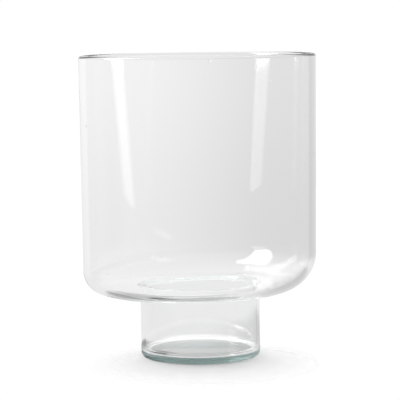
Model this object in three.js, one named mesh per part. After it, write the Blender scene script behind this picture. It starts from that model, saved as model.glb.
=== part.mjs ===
// Footed cylinder vase in clear soda-lime glass: a straight bowl, a hollow foot and a thick base,
// hot-joined one on the other, with the bowl open through its neck into the foot.
// Millimetres, +Z up, origin at the centre of the base, on the surface that the vase stands on.
import * as THREE from 'three';

// Overall sizes
const HEIGHT = 300;
const RIM_RADIUS = 117;
const BOWL_FOOT_RADIUS = 115.6; // the bowl narrows a little from its rim to its rounded lower corner
const UNDERSIDE_HEIGHT = 65; // the bowl's flat underside
const FOOT_RADIUS = 59.3;

// Wall thicknesses
const BOWL_WALL = 6;
const FOOT_WALL = 4;
const BASE_THICKNESS = 7;

// Roundings
const BOWL_CORNER_RADIUS = 31; // outside, where the wall turns into the underside
const NECK_LIP_RADIUS = 5; // inside, where the bowl's floor turns down into the foot
const JOIN_FILLET = 3; // outside, under the bowl, where the foot meets it
const FOOT_CORNER_RADIUS = 5; // inside, where the foot's wall meets the base
const BASE_CORNER_RADIUS = 4.5; // outside, at the foot of the base
const STANDING_RING_WIDTH = 12; // the flat ring that touches the surface
const PUNT_DEPTH = 1; // the hollow inside that ring

// Touching pieces are separate solids with this much between them
const JOIN_GAP = 0.3;

const FACETS = 64; // round the axis; a multiple of 4 keeps the box square to the axes

/** Points of an arc in the profile plane, from one angle to another in degrees. */
function arc(centreRadius, centreHeight, radius, from, to, steps) {
  const points = [];
  for (let i = 0; i <= steps; i += 1) {
    const angle = THREE.MathUtils.degToRad(from + ((to - from) * i) / steps);
    points.push([
      centreRadius + radius * Math.cos(angle),
      centreHeight + radius * Math.sin(angle),
    ]);
  }
  return points;
}

/** Turns a profile of [radius, height] points about the vertical axis into a named piece. */
function turned(name, profile, material) {
  const points = profile.map(([radius, height]) => new THREE.Vector2(radius, height));
  const geometry = new THREE.LatheGeometry(points, FACETS);
  geometry.rotateX(Math.PI / 2);
  const piece = new THREE.Mesh(geometry, material);
  piece.name = name;
  return piece;
}

/** Clear glass, tinted by how much of it lies in the line of sight. */
function glass(colour) {
  return new THREE.MeshStandardMaterial({ color: colour, roughness: 0.03, metalness: 0 });
}

/** The bowl: a tall wall with a fire-polished rim, rounded into a floor that is open at the neck. */
function bowl() {
  const cornerCentre = [BOWL_FOOT_RADIUS - BOWL_CORNER_RADIUS, UNDERSIDE_HEIGHT + BOWL_CORNER_RADIUS];
  const neckRadius = FOOT_RADIUS - FOOT_WALL;
  const floorTop = UNDERSIDE_HEIGHT + BOWL_WALL;
  const profile = [
    [neckRadius, UNDERSIDE_HEIGHT],
    ...arc(...cornerCentre, BOWL_CORNER_RADIUS, -90, 0, 8),
    ...arc(RIM_RADIUS - BOWL_WALL / 2, HEIGHT - BOWL_WALL / 2, BOWL_WALL / 2, 0, 180, 6),
    ...arc(...cornerCentre, BOWL_CORNER_RADIUS - BOWL_WALL, 0, -90, 8),
    ...arc(neckRadius + NECK_LIP_RADIUS, floorTop - NECK_LIP_RADIUS, NECK_LIP_RADIUS, 90, 180, 4),
    [neckRadius, UNDERSIDE_HEIGHT],
  ];
  return turned('bowl', profile, glass(0xe9efed));
}

/** The foot: a short tube that flares a little under the bowl and thickens where it meets the base. */
function foot() {
  const top = UNDERSIDE_HEIGHT - JOIN_GAP;
  const bottom = BASE_THICKNESS + JOIN_GAP;
  const innerRadius = FOOT_RADIUS - FOOT_WALL;
  const profile = [
    [FOOT_RADIUS, bottom],
    ...arc(FOOT_RADIUS + JOIN_FILLET, top - JOIN_FILLET, JOIN_FILLET, 180, 90, 4),
    [innerRadius, top],
    ...arc(innerRadius - FOOT_CORNER_RADIUS, bottom + FOOT_CORNER_RADIUS, FOOT_CORNER_RADIUS, 0, -90, 4),
    [FOOT_RADIUS, bottom],
  ];
  return turned('foot', profile, glass(0xe4ecea));
}

/** The base: a thick round slab that stands on a flat ring, with a shallow punt inside it. */
function base() {
  const ringOuter = FOOT_RADIUS - BASE_CORNER_RADIUS;
  const ringInner = ringOuter - STANDING_RING_WIDTH;
  const profile = [
    [0, PUNT_DEPTH],
    [ringInner - 3 * PUNT_DEPTH, PUNT_DEPTH],
    [ringInner, 0],
    ...arc(ringOuter, BASE_CORNER_RADIUS, BASE_CORNER_RADIUS, -90, 0, 4),
    [FOOT_RADIUS, BASE_THICKNESS],
    [0, BASE_THICKNESS],
  ];
  return turned('base', profile, glass(0xa9cdc3));
}

const vase = new THREE.Group();
vase.add(bowl(), foot(), base());

export default vase;
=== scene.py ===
"""Footed cylinder vase in clear blown glass: a straight bowl open through its neck into a hollow foot,
which stands on a thick base. The three pieces are joined hot, so they read as one body of glass."""
import math

import bmesh
import bpy
from mathutils import Matrix, Vector


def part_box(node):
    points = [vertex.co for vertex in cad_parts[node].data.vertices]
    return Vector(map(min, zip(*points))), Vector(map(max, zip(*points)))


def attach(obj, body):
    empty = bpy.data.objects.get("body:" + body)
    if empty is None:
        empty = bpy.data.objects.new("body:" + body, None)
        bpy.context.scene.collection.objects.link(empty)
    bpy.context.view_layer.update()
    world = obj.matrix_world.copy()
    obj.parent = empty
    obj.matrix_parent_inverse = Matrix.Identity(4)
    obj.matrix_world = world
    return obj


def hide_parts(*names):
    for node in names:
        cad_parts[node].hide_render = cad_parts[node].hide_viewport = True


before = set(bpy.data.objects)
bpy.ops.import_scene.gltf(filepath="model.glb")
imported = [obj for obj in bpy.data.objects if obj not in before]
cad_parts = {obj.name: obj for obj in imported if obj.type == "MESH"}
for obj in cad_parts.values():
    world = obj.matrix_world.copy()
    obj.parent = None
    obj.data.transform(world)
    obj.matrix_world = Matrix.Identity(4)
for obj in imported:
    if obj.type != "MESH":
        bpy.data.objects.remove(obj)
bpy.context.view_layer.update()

MM = 0.001

# ------------------------------------------------------------------------------------------- camera

CAMERA_DISTANCE = 1.8874
CAMERA_HEIGHT = 0.3362
CAMERA_DOWN = math.radians(5.47)
CAMERA_TURN = math.radians(0.035)
CAMERA_ROLL = math.radians(-0.748)
CAMERA_LENS = 171.8
SENSOR_WIDTH = 36
CLIP_START = 0.01


def add_camera():
    """A long lens, a little above the rim, looking down past it."""
    ahead = Vector((
        math.sin(CAMERA_TURN) * math.cos(CAMERA_DOWN),
        math.cos(CAMERA_TURN) * math.cos(CAMERA_DOWN),
        -math.sin(CAMERA_DOWN),
    ))
    level = ahead.cross(Vector((0, 0, 1))).normalized()
    upright = level.cross(ahead)
    right = math.cos(CAMERA_ROLL) * level + math.sin(CAMERA_ROLL) * upright
    up = math.cos(CAMERA_ROLL) * upright - math.sin(CAMERA_ROLL) * level
    bpy.ops.object.camera_add()
    camera = bpy.context.object
    camera.name = "studio_camera"
    stance = Matrix((right, up, -ahead)).transposed().to_4x4()
    stance.translation = (0, -CAMERA_DISTANCE, CAMERA_HEIGHT)
    camera.matrix_world = stance
    camera.data.lens = CAMERA_LENS
    camera.data.sensor_width = SENSOR_WIDTH
    camera.data.clip_start = CLIP_START
    bpy.context.scene.camera = camera


add_camera()

# -------------------------------------------------------------------------------------------- sizes

bowl_low, bowl_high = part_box("bowl")
base_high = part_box("base")[1]

HEIGHT = bowl_high[2]
RIM_RADIUS = bowl_high[0]
UNDERSIDE = bowl_low[2]
FOOT_RADIUS = base_high[0]
BASE_TOP = base_high[2]

BOWL_TAPER = 1.4 * MM
BOWL_WALL = 6 * MM
FOOT_WALL = 4 * MM
CORNER_ROUNDING = 29.6 * MM  # the bowl's lower corner, outside, at the front and the back
CORNER_SWING = 8.6 * MM  # added to that on the right, and taken from it on the left
RIM_ROUNDING = 0.499 * BOWL_WALL  # just under half, so that the rim's two roundings don't meet
NECK_LIP = 5 * MM
JOIN_FILLET = 3 * MM
FOOT_CORNER = 5 * MM
BASE_CORNER = 4.5 * MM
RING_WIDTH = 12 * MM
PUNT_DEPTH = 1 * MM
HAIRLINE = 0.02 * MM  # between pieces, which must not share a face

FOOT_BORE = FOOT_RADIUS - FOOT_WALL

SAME_CORNER = 0.01 * MM  # points this close count as one place
SAME_POINT = 0.001 * MM  # and points this close are merged
TURN_STEPS = 160
RIM_SEGMENTS = 16
LIP_SEGMENTS = 12
CORNER_SEGMENTS = 24
SMALL_SEGMENTS = 10
SMOOTH_BELOW = math.radians(30)

# ---------------------------------------------------------------------------------- modelling tools


def deselect_objects():
    bpy.ops.object.select_all(action="DESELECT")


def choose_vertices(piece, wanted):
    """In edit mode, selects only the vertices whose place is wanted."""
    mesh = bmesh.from_edit_mesh(piece.data)
    for vertex in mesh.verts:
        vertex.select = wanted(vertex.co)
    mesh.select_mode = {"VERT"}
    mesh.select_flush_mode()
    bmesh.update_edit_mesh(piece.data)


def draw_section(name, corners):
    """Draws a half-section in the X-Z plane, one corner at a time, and fills it with a face."""
    deselect_objects()
    first = corners[0]
    bpy.ops.mesh.primitive_plane_add(size=MM, location=(first[0], 0, first[1]))
    piece = bpy.context.object
    piece.name = name
    piece.data.name = name
    bpy.ops.object.transform_apply(location=True, rotation=True, scale=True)
    bpy.ops.object.mode_set(mode="EDIT")
    bpy.ops.mesh.select_mode(type="VERT")
    bpy.ops.mesh.select_all(action="SELECT")
    bpy.ops.mesh.merge(type="CENTER")
    for here, there in zip(corners, corners[1:]):
        step = (there[0] - here[0], 0, there[1] - here[1])
        bpy.ops.mesh.extrude_region_move(TRANSFORM_OT_translate={"value": step})
    bpy.ops.mesh.select_all(action="SELECT")
    bpy.ops.mesh.edge_face_add()
    return piece


def round_corner(piece, corner, rounding, segments):
    """Rounds one corner of the half-section that is being edited."""
    place = Vector((corner[0], 0, corner[1]))
    choose_vertices(piece, lambda co: (co - place).length < SAME_CORNER)
    bpy.ops.mesh.bevel(
        offset=rounding,
        offset_type="OFFSET",
        segments=segments,
        profile=0.5,
        affect="VERTICES",
        clamp_overlap=False,
    )


def turn_section(piece):
    """Turns the half-section all the way round the vase's axis and closes the seam and the poles."""
    bpy.ops.mesh.select_all(action="SELECT")
    bpy.ops.mesh.delete(type="ONLY_FACE")
    choose_vertices(piece, lambda co: abs(co.x) < SAME_POINT)
    bpy.ops.mesh.delete(type="EDGE_FACE")
    bpy.ops.mesh.select_all(action="SELECT")
    bpy.ops.mesh.spin(steps=TURN_STEPS, angle=math.tau, center=(0, 0, 0), axis=(0, 0, 1))
    bpy.ops.mesh.select_all(action="SELECT")
    bpy.ops.mesh.remove_doubles(threshold=SAME_POINT)
    bpy.ops.mesh.normals_make_consistent(inside=False)
    bpy.ops.object.mode_set(mode="OBJECT")


def apply_modifier(piece, modifier):
    deselect_objects()
    piece.select_set(True)
    bpy.context.view_layer.objects.active = piece
    bpy.ops.object.modifier_apply(modifier=modifier.name)


def finish_piece(piece, material, node):
    """Smooths the turned glass, keeps the joint's edges sharp, and puts the piece in its place."""
    deselect_objects()
    piece.select_set(True)
    bpy.context.view_layer.objects.active = piece
    bpy.ops.object.shade_smooth_by_angle(angle=SMOOTH_BELOW)
    true_walls = piece.modifiers.new("true walls beside the roundings", "WEIGHTED_NORMAL")
    true_walls.mode = "FACE_AREA"
    true_walls.weight = 100
    true_walls.keep_sharp = True
    apply_modifier(piece, true_walls)
    piece.data.materials.clear()
    piece.data.materials.append(material)
    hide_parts(node)
    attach(piece, "root")


# ---------------------------------------------------------------------------------------- materials

GLASS_IOR = 1.5
WALL_TINT = (0.45, 0.66, 0.62)
BASE_TINT = (0.545, 0.64, 0.627)

# How fine each pattern is, in repeats to the metre
SWELLS_PER_METRE = 14
LINES_PER_METRE = 60
SEEDS_PER_METRE = 28
SMEARS_PER_METRE = 22
GRIT_PER_METRE = 900

LINE_STRETCH = (1, 1, 0.08)  # a drawing line runs much further up the wall than across it
SEED_RADIUS = 0.035  # as a share of the space between seeds
SMEAR_START = 0.56  # smears show only where the cloud of handling is thicker than this
SMEAR_FULL = 0.78
WEAR_HEIGHT = 0.5 * MM  # how far up from the table the ground band reaches
BUMP_HEIGHT = MM  # what a height of 1 in the waves and seeds stands for

# The one large seed, at the front of the rim
RIM_SEED = (12 * MM, -116.2 * MM, HEIGHT - 3.4 * MM)
RIM_SEED_RADIUS = 2 * MM


def add_node(tree, kind, label, **settings):
    node = tree.nodes.new(kind)
    node.label = label
    for name, value in settings.items():
        setattr(node, name, value)
    return node


def grey(brightness):
    return (brightness, brightness, brightness, 1)


def waviness_group():
    """Slow swells and finer upright drawing lines in blown glass, as one height."""
    group = bpy.data.node_groups.new("blown_waviness", "ShaderNodeTree")
    face = group.interface
    face.new_socket("Swell", in_out="INPUT", socket_type="NodeSocketFloat")
    face.new_socket("Drawing Lines", in_out="INPUT", socket_type="NodeSocketFloat")
    face.new_socket("Height", in_out="OUTPUT", socket_type="NodeSocketFloat")
    start = add_node(group, "NodeGroupInput", "amounts")
    end = add_node(group, "NodeGroupOutput", "height")
    place = add_node(group, "ShaderNodeTexCoord", "place on the vase")
    swell = add_node(group, "ShaderNodeTexNoise", "swells")
    swell.inputs["Scale"].default_value = SWELLS_PER_METRE
    swell.inputs["Detail"].default_value = 1
    stretch = add_node(group, "ShaderNodeMapping", "stretched up the wall")
    stretch.inputs["Scale"].default_value = LINE_STRETCH
    lines = add_node(group, "ShaderNodeTexNoise", "drawing lines")
    lines.inputs["Scale"].default_value = LINES_PER_METRE
    lines.inputs["Detail"].default_value = 2
    swell_amount = add_node(group, "ShaderNodeMath", "swell amount", operation="MULTIPLY")
    lines_amount = add_node(group, "ShaderNodeMath", "line amount", operation="MULTIPLY")
    both = add_node(group, "ShaderNodeMath", "both", operation="ADD")
    group.links.new(place.outputs["Object"], swell.inputs["Vector"])
    group.links.new(place.outputs["Object"], stretch.inputs["Vector"])
    group.links.new(stretch.outputs["Vector"], lines.inputs["Vector"])
    group.links.new(swell.outputs["Fac"], swell_amount.inputs[0])
    group.links.new(start.outputs["Swell"], swell_amount.inputs[1])
    group.links.new(lines.outputs["Fac"], lines_amount.inputs[0])
    group.links.new(start.outputs["Drawing Lines"], lines_amount.inputs[1])
    group.links.new(swell_amount.outputs["Value"], both.inputs[0])
    group.links.new(lines_amount.outputs["Value"], both.inputs[1])
    group.links.new(both.outputs["Value"], end.inputs["Height"])
    return group


def seeds_group():
    """The small bubbles that stay in blown glass, each a low bump, and one larger one at the rim."""
    group = bpy.data.node_groups.new("seeds_in_the_glass", "ShaderNodeTree")
    face = group.interface
    face.new_socket("Seeds Per Metre", in_out="INPUT", socket_type="NodeSocketFloat")
    face.new_socket("Small Seeds", in_out="INPUT", socket_type="NodeSocketFloat")
    face.new_socket("Rim Seed", in_out="INPUT", socket_type="NodeSocketFloat")
    face.new_socket("Height", in_out="OUTPUT", socket_type="NodeSocketFloat")
    start = add_node(group, "NodeGroupInput", "amounts")
    end = add_node(group, "NodeGroupOutput", "height")
    place = add_node(group, "ShaderNodeTexCoord", "place on the vase")
    cells = add_node(group, "ShaderNodeTexVoronoi", "one seed to a cell")
    small = add_node(group, "ShaderNodeMapRange", "small seed", interpolation_type="SMOOTHSTEP")
    small.inputs["From Min"].default_value = SEED_RADIUS
    small.inputs["From Max"].default_value = 0
    small_amount = add_node(group, "ShaderNodeMath", "small seed amount", operation="MULTIPLY")
    reach = add_node(group, "ShaderNodeVectorMath", "how far from the rim seed", operation="DISTANCE")
    reach.inputs[1].default_value = RIM_SEED
    large = add_node(group, "ShaderNodeMapRange", "rim seed", interpolation_type="SMOOTHSTEP")
    large.inputs["From Min"].default_value = RIM_SEED_RADIUS
    large.inputs["From Max"].default_value = 0
    large_amount = add_node(group, "ShaderNodeMath", "rim seed amount", operation="MULTIPLY")
    both = add_node(group, "ShaderNodeMath", "all seeds", operation="ADD")
    links = group.links
    links.new(place.outputs["Object"], cells.inputs["Vector"])
    links.new(start.outputs["Seeds Per Metre"], cells.inputs["Scale"])
    links.new(cells.outputs["Distance"], small.inputs["Value"])
    links.new(small.outputs["Result"], small_amount.inputs[0])
    links.new(start.outputs["Small Seeds"], small_amount.inputs[1])
    links.new(place.outputs["Object"], reach.inputs[0])
    links.new(reach.outputs["Value"], large.inputs["Value"])
    links.new(large.outputs["Result"], large_amount.inputs[0])
    links.new(start.outputs["Rim Seed"], large_amount.inputs[1])
    links.new(small_amount.outputs["Value"], both.inputs[0])
    links.new(large_amount.outputs["Value"], both.inputs[1])
    links.new(both.outputs["Value"], end.inputs["Height"])
    return group


def handling_group():
    """Roughness of handled glass: faint smears, and a ground band where it stands on the table."""
    group = bpy.data.node_groups.new("handling_and_wear", "ShaderNodeTree")
    face = group.interface
    face.new_socket("Smears", in_out="INPUT", socket_type="NodeSocketFloat")
    face.new_socket("Standing Wear", in_out="INPUT", socket_type="NodeSocketFloat")
    face.new_socket("Roughness", in_out="OUTPUT", socket_type="NodeSocketFloat")
    start = add_node(group, "NodeGroupInput", "amounts")
    end = add_node(group, "NodeGroupOutput", "roughness")
    place = add_node(group, "ShaderNodeTexCoord", "place on the vase")
    cloud = add_node(group, "ShaderNodeTexNoise", "where hands have been")
    cloud.inputs["Scale"].default_value = SMEARS_PER_METRE
    cloud.inputs["Detail"].default_value = 3
    smear = add_node(group, "ShaderNodeMapRange", "strongest smears", interpolation_type="SMOOTHSTEP")
    smear.inputs["From Min"].default_value = SMEAR_START
    smear.inputs["From Max"].default_value = SMEAR_FULL
    smear_amount = add_node(group, "ShaderNodeMath", "smear amount", operation="MULTIPLY")
    split = add_node(group, "ShaderNodeSeparateXYZ", "height above the table")
    ground = add_node(group, "ShaderNodeMapRange", "close to the table", interpolation_type="SMOOTHSTEP")
    ground.inputs["From Min"].default_value = WEAR_HEIGHT
    ground.inputs["From Max"].default_value = 0
    grit = add_node(group, "ShaderNodeTexNoise", "grit")
    grit.inputs["Scale"].default_value = GRIT_PER_METRE
    grit.inputs["Detail"].default_value = 2
    worn = add_node(group, "ShaderNodeMath", "worn by grit", operation="MULTIPLY")
    worn_amount = add_node(group, "ShaderNodeMath", "wear amount", operation="MULTIPLY")
    both = add_node(group, "ShaderNodeMath", "smears and wear", operation="ADD")
    links = group.links
    links.new(place.outputs["Object"], cloud.inputs["Vector"])
    links.new(cloud.outputs["Fac"], smear.inputs["Value"])
    links.new(smear.outputs["Result"], smear_amount.inputs[0])
    links.new(start.outputs["Smears"], smear_amount.inputs[1])
    links.new(place.outputs["Object"], split.inputs["Vector"])
    links.new(split.outputs["Z"], ground.inputs["Value"])
    links.new(place.outputs["Object"], grit.inputs["Vector"])
    links.new(grit.outputs["Fac"], worn.inputs[0])
    links.new(ground.outputs["Result"], worn.inputs[1])
    links.new(worn.outputs["Value"], worn_amount.inputs[0])
    links.new(start.outputs["Standing Wear"], worn_amount.inputs[1])
    links.new(smear_amount.outputs["Value"], both.inputs[0])
    links.new(worn_amount.outputs["Value"], both.inputs[1])
    links.new(both.outputs["Value"], end.inputs["Roughness"])
    return group


WAVINESS = waviness_group()
SEEDS = seeds_group()
HANDLING = handling_group()


def glass(name, tint, density, swell, lines, seeds, rim_seed, smears, wear):
    """Clear blown glass that takes its tint from how much of it the light passes through."""
    material = bpy.data.materials.new(name)
    material.use_nodes = True
    tree = material.node_tree
    surface = tree.nodes["Principled BSDF"]
    surface.inputs["Base Color"].default_value = grey(1)
    surface.inputs["Transmission Weight"].default_value = 1
    surface.inputs["IOR"].default_value = GLASS_IOR
    body = add_node(tree, "ShaderNodeVolumeAbsorption", "tint of the glass")
    body.inputs["Color"].default_value = (*tint, 1)
    body.inputs["Density"].default_value = density
    waves = add_node(tree, "ShaderNodeGroup", "blown waviness", node_tree=WAVINESS)
    waves.inputs["Swell"].default_value = swell
    waves.inputs["Drawing Lines"].default_value = lines
    bubbles = add_node(tree, "ShaderNodeGroup", "seeds", node_tree=SEEDS)
    bubbles.inputs["Seeds Per Metre"].default_value = SEEDS_PER_METRE
    bubbles.inputs["Small Seeds"].default_value = seeds
    bubbles.inputs["Rim Seed"].default_value = rim_seed
    height = add_node(tree, "ShaderNodeMath", "waves and seeds", operation="ADD")
    bump = add_node(tree, "ShaderNodeBump", "height as slope")
    bump.inputs["Strength"].default_value = 1
    bump.inputs["Distance"].default_value = BUMP_HEIGHT
    marks = add_node(tree, "ShaderNodeGroup", "handling and wear", node_tree=HANDLING)
    marks.inputs["Smears"].default_value = smears
    marks.inputs["Standing Wear"].default_value = wear
    links = tree.links
    links.new(body.outputs["Volume"], tree.nodes["Material Output"].inputs["Volume"])
    links.new(waves.outputs["Height"], height.inputs[0])
    links.new(bubbles.outputs["Height"], height.inputs[1])
    links.new(height.outputs["Value"], bump.inputs["Height"])
    links.new(bump.outputs["Normal"], surface.inputs["Normal"])
    links.new(marks.outputs["Roughness"], surface.inputs["Roughness"])
    return material


CLEAR_GLASS = glass(
    "clear_glass",
    tint=WALL_TINT,
    density=0.6,
    swell=0.1,
    lines=0.01,
    seeds=0.25,
    rim_seed=1.5,
    smears=0.02,
    wear=0,
)
FOOT_GLASS = glass(
    "foot_glass",
    tint=WALL_TINT,
    density=1.1,
    swell=0.1,
    lines=0.01,
    seeds=0.25,
    rim_seed=0,
    smears=0.02,
    wear=0,
)
BASE_GLASS = glass(
    "base_glass",
    tint=BASE_TINT,
    density=28,
    swell=0.05,
    lines=0,
    seeds=0.25,
    rim_seed=0,
    smears=0.01,
    wear=0.5,
)

# ----------------------------------------------------------------------------------------- the vase


def weigh_corner(piece, radius, height, wall_inside):
    """Gives the ring of edges at one corner its share of the rounding, which swings round the bowl."""
    mesh = piece.data
    weights = mesh.attributes.get("bevel_weight_edge")
    if weights is None:
        weights = mesh.attributes.new("bevel_weight_edge", "FLOAT", "EDGE")
    largest = CORNER_ROUNDING + CORNER_SWING
    for edge in mesh.edges:
        ends = [mesh.vertices[i].co for i in edge.vertices]
        if any(abs(math.hypot(end.x, end.y) - radius) > SAME_CORNER for end in ends):
            continue
        if any(abs(end.z - height) > SAME_CORNER for end in ends):
            continue
        middle = (ends[0] + ends[1]) / 2
        around = math.atan2(middle.y, middle.x)
        rounding = CORNER_ROUNDING + CORNER_SWING * math.cos(around) - wall_inside
        weights.data[edge.index].value = rounding / largest


def build_bowl():
    """A straight wall with a fire-polished rim, a rounded lower corner and a floor open at the neck."""
    outer = RIM_RADIUS - BOWL_TAPER
    inner = outer - BOWL_WALL
    floor = UNDERSIDE + BOWL_WALL
    corners = [
        (FOOT_BORE, UNDERSIDE),
        (FOOT_RADIUS + JOIN_FILLET, UNDERSIDE),
        (outer, UNDERSIDE),
        (RIM_RADIUS, HEIGHT),
        (RIM_RADIUS - BOWL_WALL, HEIGHT),
        (inner, floor),
        (FOOT_BORE, floor),
    ]
    piece = draw_section("vase_bowl", corners)
    round_corner(piece, corners[3], RIM_ROUNDING, RIM_SEGMENTS)
    round_corner(piece, corners[4], RIM_ROUNDING, RIM_SEGMENTS)
    round_corner(piece, corners[6], NECK_LIP, LIP_SEGMENTS)
    turn_section(piece)
    weigh_corner(piece, outer, UNDERSIDE, 0)
    weigh_corner(piece, inner, floor, BOWL_WALL)
    rounding = piece.modifiers.new("lower corner", "BEVEL")
    rounding.limit_method = "WEIGHT"
    rounding.width = CORNER_ROUNDING + CORNER_SWING
    rounding.segments = CORNER_SEGMENTS
    rounding.use_clamp_overlap = False
    apply_modifier(piece, rounding)
    return piece


def build_foot():
    """A short tube that flares a little under the bowl and thickens where it meets the base."""
    top = UNDERSIDE - HAIRLINE
    bottom = BASE_TOP + HAIRLINE
    corners = [
        (FOOT_BORE - FOOT_CORNER, bottom),
        (FOOT_RADIUS, bottom),
        (FOOT_RADIUS, top - HAIRLINE),
        (FOOT_RADIUS + JOIN_FILLET, top - HAIRLINE),
        (FOOT_RADIUS + JOIN_FILLET, top),
        (FOOT_BORE, top),
        (FOOT_BORE, bottom + HAIRLINE),
        (FOOT_BORE - FOOT_CORNER, bottom + HAIRLINE),
    ]
    piece = draw_section("vase_foot", corners)
    round_corner(piece, corners[2], JOIN_FILLET - HAIRLINE, SMALL_SEGMENTS)
    round_corner(piece, corners[6], FOOT_CORNER - HAIRLINE, SMALL_SEGMENTS)
    turn_section(piece)
    return piece


def build_base():
    """A thick round slab that stands on a flat ring, with a shallow punt inside the ring."""
    ring_outer = FOOT_RADIUS - BASE_CORNER
    ring_inner = ring_outer - RING_WIDTH
    corners = [
        (0, PUNT_DEPTH),
        (ring_inner - 3 * PUNT_DEPTH, PUNT_DEPTH),
        (ring_inner, 0),
        (FOOT_RADIUS, 0),
        (FOOT_RADIUS, BASE_TOP),
        (FOOT_BORE - FOOT_CORNER, BASE_TOP),
        (0, BASE_TOP),
    ]
    piece = draw_section("vase_base", corners)
    round_corner(piece, corners[3], BASE_CORNER, SMALL_SEGMENTS)
    turn_section(piece)
    return piece


finish_piece(build_bowl(), CLEAR_GLASS, "bowl")
finish_piece(build_foot(), FOOT_GLASS, "foot")
finish_piece(build_base(), BASE_GLASS, "base")

# --------------------------------------------------------------------------------- floor and lights

TABLE_RADIUS = 0.9
TABLE_SIDES = 96
TABLE_DROP = 0.2 * MM  # keeps the table's face clear of the standing ring's

# The table that is seen directly, and its soft shadow: middle, where it is full and where it ends
TABLE_WHITE = 0.985
SHADOW = ((0.012, -0.055, 0), 0.0, 0.15)

# The table as the glass shows it glows by itself and is not lit by the room. Its patches are painted
# shade, with one painted brighter patch behind the foot. Each patch has a name, a middle, how far it is
# full, how far it reaches, and what it multiplies the table's brightness by
SELF_LIT_TABLE_THROUGH = 0.83
TABLE_REACH = ((0, 0, 0), 0.35, 0.88)
TABLE_PAINTED_SHADE_AND_LIGHT = [
    ("brighter behind the foot", (0, 0.075, 0), 0.03, 0.05, 1.2),
    ("left, behind the foot", (-0.1, 0.04, 0), 0.03, 0.055, 0.4),
    ("left, before the foot", (-0.088, -0.035, 0), 0.02, 0.07, 0.66),
    ("right of the foot", (0.19, 0.1, 0), 0.09, 0.2, 0.72),
    ("under the base", (0, 0, 0), 0.05, 0.062, 0.5),
    ("under the base's left edge", (-0.046, -0.026, 0), 0.012, 0.028, 0.1),
]

# Brightness of the room's walls, by share of a full turn: front, left, behind, right and front again
WALLS = [
    (0.0, 0.8),
    (0.25, 0.88),
    (0.32, 1.0),
    (0.488, 0.93),
    (0.512, 0.76),
    (0.62, 0.65),
    (0.71, 0.52),
    (0.8, 0.65),
    (1.0, 0.8),
]
CEILING = 1.12
CEILING_RISE = (0.12, 0.55)  # upward slope, as a sine, at which the ceiling starts and is full
SKIRTING = 0.92  # what the walls are multiplied by, low down
SKIRTING_DROP = (-0.02, -0.12)  # the same for the skirting, which is down
BACKDROP = 1.02  # what the camera sees behind the vase

# The softbox at the left, in two parts that share an edge. Each corner has a turn round the vase in
# degrees, a distance from its axis and a height. The glow is a list of heights and brightnesses
CARD_FOOT = [(-60.8, 0.698, 0.09), (-74, 1.092, 0.07)]
CARD_MIDDLE = [(-70.6, 0.622, 0.28), (-86.6, 1.057, 0.28)]
CARD_TOP = [(-82, 0.57, 1.25), (-122, 1.1, 1.25)]
CARD_GLOW = [(0.09, 2.0), (0.26, 2.5), (0.3, 8)]


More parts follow.
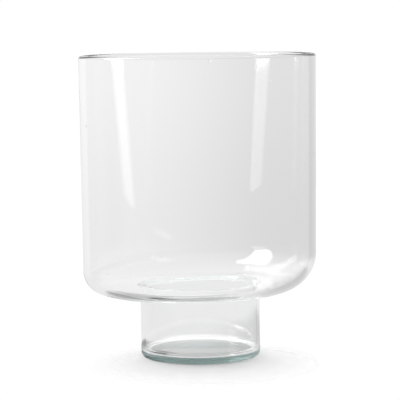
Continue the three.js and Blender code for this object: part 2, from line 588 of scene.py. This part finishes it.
def add_floor():
    """A white table top with a soft shadow at the foot, which fades into the white room.

    Through the glass the table glows by itself, a little duller, with painted shade under the base and
    beside it and a painted brighter patch behind the foot."""
    deselect_objects()
    bpy.ops.mesh.primitive_circle_add(
        vertices=TABLE_SIDES, radius=TABLE_RADIUS, fill_type="NGON", location=(0, 0, -TABLE_DROP)
    )
    floor = bpy.context.object
    floor.name = "floor"
    bpy.ops.object.transform_apply(location=True, rotation=True, scale=True)
    material = bpy.data.materials.new("white_floor")
    material.use_nodes = True
    tree = material.node_tree
    links = tree.links
    tree.nodes.remove(tree.nodes["Principled BSDF"])
    place = add_node(tree, "ShaderNodeTexCoord", "place on the floor")
    ray = add_node(tree, "ShaderNodeLightPath", "seen directly")

    def near(label, centre, inner, outer):
        """1 close to a place on the floor, falling to 0 round it."""
        reach = add_node(tree, "ShaderNodeVectorMath", label, operation="DISTANCE")
        reach.inputs[1].default_value = centre
        fall = add_node(tree, "ShaderNodeMapRange", label, interpolation_type="SMOOTHSTEP")
        fall.inputs["From Min"].default_value = outer
        fall.inputs["From Max"].default_value = inner
        links.new(place.outputs["Object"], reach.inputs[0])
        links.new(reach.outputs["Value"], fall.inputs["Value"])
        return fall.outputs["Result"]

    def shade(label, tone, share, brightness):
        """Paints shade or light on the tone: multiplies it by a brightness where the share is 1."""
        mix = add_node(tree, "ShaderNodeMix", label, data_type="RGBA", blend_type="MULTIPLY")
        mix.inputs["B"].default_value = grey(brightness)
        links.new(share, mix.inputs["Factor"])
        links.new(tone, mix.inputs["A"])
        return mix.outputs["Result"]

    # Painted shade and light: through the glass, the table is a self-lit tone with painted shadow
    # patches and one painted brighter patch
    tone = add_node(tree, "ShaderNodeRGB", "self-lit table tone through the glass")
    tone.outputs["Color"].default_value = grey(SELF_LIT_TABLE_THROUGH)
    through = tone.outputs["Color"]
    for label, centre, inner, outer, brightness in TABLE_PAINTED_SHADE_AND_LIGHT:
        through = shade(label, through, near(label, centre, inner, outer), brightness)
    paint = add_node(tree, "ShaderNodeBsdfDiffuse", "white paint")
    paint.inputs["Color"].default_value = grey(TABLE_WHITE)
    # Painted light: what the glass sees of the table glows by itself instead of being lit by the room
    lit = add_node(tree, "ShaderNodeEmission", "self-lit table seen through the glass")
    links.new(through, lit.inputs["Color"])
    seen = add_node(tree, "ShaderNodeMixShader", "seen directly or through glass")
    links.new(ray.outputs["Is Camera Ray"], seen.inputs["Fac"])
    links.new(lit.outputs["Emission"], seen.inputs[1])
    links.new(paint.outputs["BSDF"], seen.inputs[2])
    clear = add_node(tree, "ShaderNodeBsdfTransparent", "away from the vase")
    shadow = near("shadow at the foot", *SHADOW)
    wide = near("table top", *TABLE_REACH)
    kept = add_node(tree, "ShaderNodeMix", "how much table", data_type="FLOAT")
    links.new(ray.outputs["Is Camera Ray"], kept.inputs["Factor"])
    links.new(wide, kept.inputs["A"])
    links.new(shadow, kept.inputs["B"])
    mix = add_node(tree, "ShaderNodeMixShader", "room and table")
    links.new(kept.outputs["Result"], mix.inputs["Fac"])
    links.new(clear.outputs["BSDF"], mix.inputs[1])
    links.new(seen.outputs["Shader"], mix.inputs[2])
    links.new(mix.outputs["Shader"], tree.nodes["Material Output"].inputs["Surface"])
    floor.data.materials.append(material)


def light_room():
    """A white room that is duller on the right of the vase and low down, and brightest overhead."""
    world = bpy.data.worlds.new("white_room")
    bpy.context.scene.world = world
    world.use_nodes = True
    tree = world.node_tree
    for node in list(tree.nodes):
        tree.nodes.remove(node)
    place = add_node(tree, "ShaderNodeTexCoord", "direction")
    split = add_node(tree, "ShaderNodeSeparateXYZ", "across, away and up")
    turn = add_node(tree, "ShaderNodeMath", "turn round the vase", operation="ARCTAN2")
    share = add_node(tree, "ShaderNodeMapRange", "share of a full turn")
    share.inputs["From Min"].default_value = -math.pi
    share.inputs["From Max"].default_value = math.pi
    ramp = add_node(tree, "ShaderNodeValToRGB", "walls")
    ramp.color_ramp.interpolation = "EASE"
    elements = ramp.color_ramp.elements
    elements.remove(elements[1])
    first_place, first_tone = WALLS[0]
    elements[0].position = first_place
    elements[0].color = grey(first_tone)
    for position, brightness in WALLS[1:]:
        element = elements.new(position)
        element.color = grey(brightness)
    rise = add_node(tree, "ShaderNodeMapRange", "walls up to ceiling", interpolation_type="SMOOTHSTEP")
    rise.inputs["From Min"].default_value = CEILING_RISE[0]
    rise.inputs["From Max"].default_value = CEILING_RISE[1]
    over = add_node(tree, "ShaderNodeMix", "walls and ceiling", data_type="RGBA")
    over.inputs["B"].default_value = grey(CEILING)
    drop = add_node(tree, "ShaderNodeMapRange", "down to the skirting", interpolation_type="SMOOTHSTEP")
    drop.inputs["From Min"].default_value = SKIRTING_DROP[0]
    drop.inputs["From Max"].default_value = SKIRTING_DROP[1]
    low = add_node(tree, "ShaderNodeMix", "duller low down", data_type="RGBA", blend_type="MULTIPLY")
    low.inputs["B"].default_value = grey(SKIRTING)
    room = add_node(tree, "ShaderNodeBackground", "room light")
    backdrop = add_node(tree, "ShaderNodeBackground", "white backdrop")
    backdrop.inputs["Color"].default_value = grey(1)
    backdrop.inputs["Strength"].default_value = BACKDROP
    ray = add_node(tree, "ShaderNodeLightPath", "seen directly")
    mix = add_node(tree, "ShaderNodeMixShader", "backdrop or room")
    output = add_node(tree, "ShaderNodeOutputWorld", "world")
    links = tree.links
    links.new(place.outputs["Generated"], split.inputs["Vector"])
    links.new(split.outputs["X"], turn.inputs[0])
    links.new(split.outputs["Y"], turn.inputs[1])
    links.new(split.outputs["Z"], rise.inputs["Value"])
    links.new(turn.outputs["Value"], share.inputs["Value"])
    links.new(share.outputs["Result"], ramp.inputs["Fac"])
    links.new(rise.outputs["Result"], over.inputs["Factor"])
    links.new(ramp.outputs["Color"], over.inputs["A"])
    links.new(split.outputs["Z"], drop.inputs["Value"])
    links.new(drop.outputs["Result"], low.inputs["Factor"])
    links.new(over.outputs["Result"], low.inputs["A"])
    links.new(low.outputs["Result"], room.inputs["Color"])
    links.new(ray.outputs["Is Camera Ray"], mix.inputs["Fac"])
    links.new(room.outputs["Background"], mix.inputs[1])
    links.new(backdrop.outputs["Background"], mix.inputs[2])
    links.new(mix.outputs["Shader"], output.inputs["Surface"])


def round_the_vase(turn, distance, height):
    """A place in the room, by its angle round the vase from the front, in degrees."""
    angle = math.radians(turn)
    return Vector((distance * math.sin(angle), -distance * math.cos(angle), height))


def add_card(name, corners, glow_by_height):
    """A glowing card that is brighter towards its top. Only the glass sees it."""
    deselect_objects()
    bpy.ops.mesh.primitive_plane_add(size=1)
    card = bpy.context.object
    card.name = name
    for vertex, corner in zip(card.data.vertices, corners):
        vertex.co = round_the_vase(*corner)
    material = bpy.data.materials.new(name)
    material.use_nodes = True
    tree = material.node_tree
    tree.nodes.remove(tree.nodes["Principled BSDF"])
    place = add_node(tree, "ShaderNodeTexCoord", "place on the card")
    split = add_node(tree, "ShaderNodeSeparateXYZ", "height on the card")
    tree.links.new(place.outputs["Object"], split.inputs["Vector"])
    height = split.outputs["Z"]
    dimmest = glow_by_height[0][1]
    so_far = None
    for (low, dim), (high, bright) in zip(glow_by_height, glow_by_height[1:]):
        band = add_node(tree, "ShaderNodeMapRange", "brighter higher up")
        band.inputs["From Min"].default_value = low
        band.inputs["From Max"].default_value = high
        band.inputs["To Max"].default_value = bright - dim
        total = add_node(tree, "ShaderNodeMath", "glow so far", operation="ADD")
        total.inputs[0].default_value = dimmest
        if so_far is not None:
            tree.links.new(so_far, total.inputs[0])
        tree.links.new(height, band.inputs["Value"])
        tree.links.new(band.outputs["Result"], total.inputs[1])
        so_far = total.outputs["Value"]
    glow = add_node(tree, "ShaderNodeEmission", "glow")
    tree.links.new(so_far, glow.inputs["Strength"])
    tree.links.new(glow.outputs["Emission"], tree.nodes["Material Output"].inputs["Surface"])
    card.data.materials.append(material)
    card.visible_camera = False
    card.visible_diffuse = False


add_floor()
light_room()
add_card("card_left", CARD_FOOT + CARD_MIDDLE, CARD_GLOW)
add_card("card_left_high", CARD_MIDDLE + CARD_TOP, CARD_GLOW)

# With 12 bounces the neck and the base go dark
GLASS_BOUNCES = 64

scene = bpy.context.scene
scene.view_settings.view_transform = "Standard"
scene.cycles.max_bounces = GLASS_BOUNCES
scene.cycles.transmission_bounces = GLASS_BOUNCES
scene.cycles.glossy_bounces = GLASS_BOUNCES
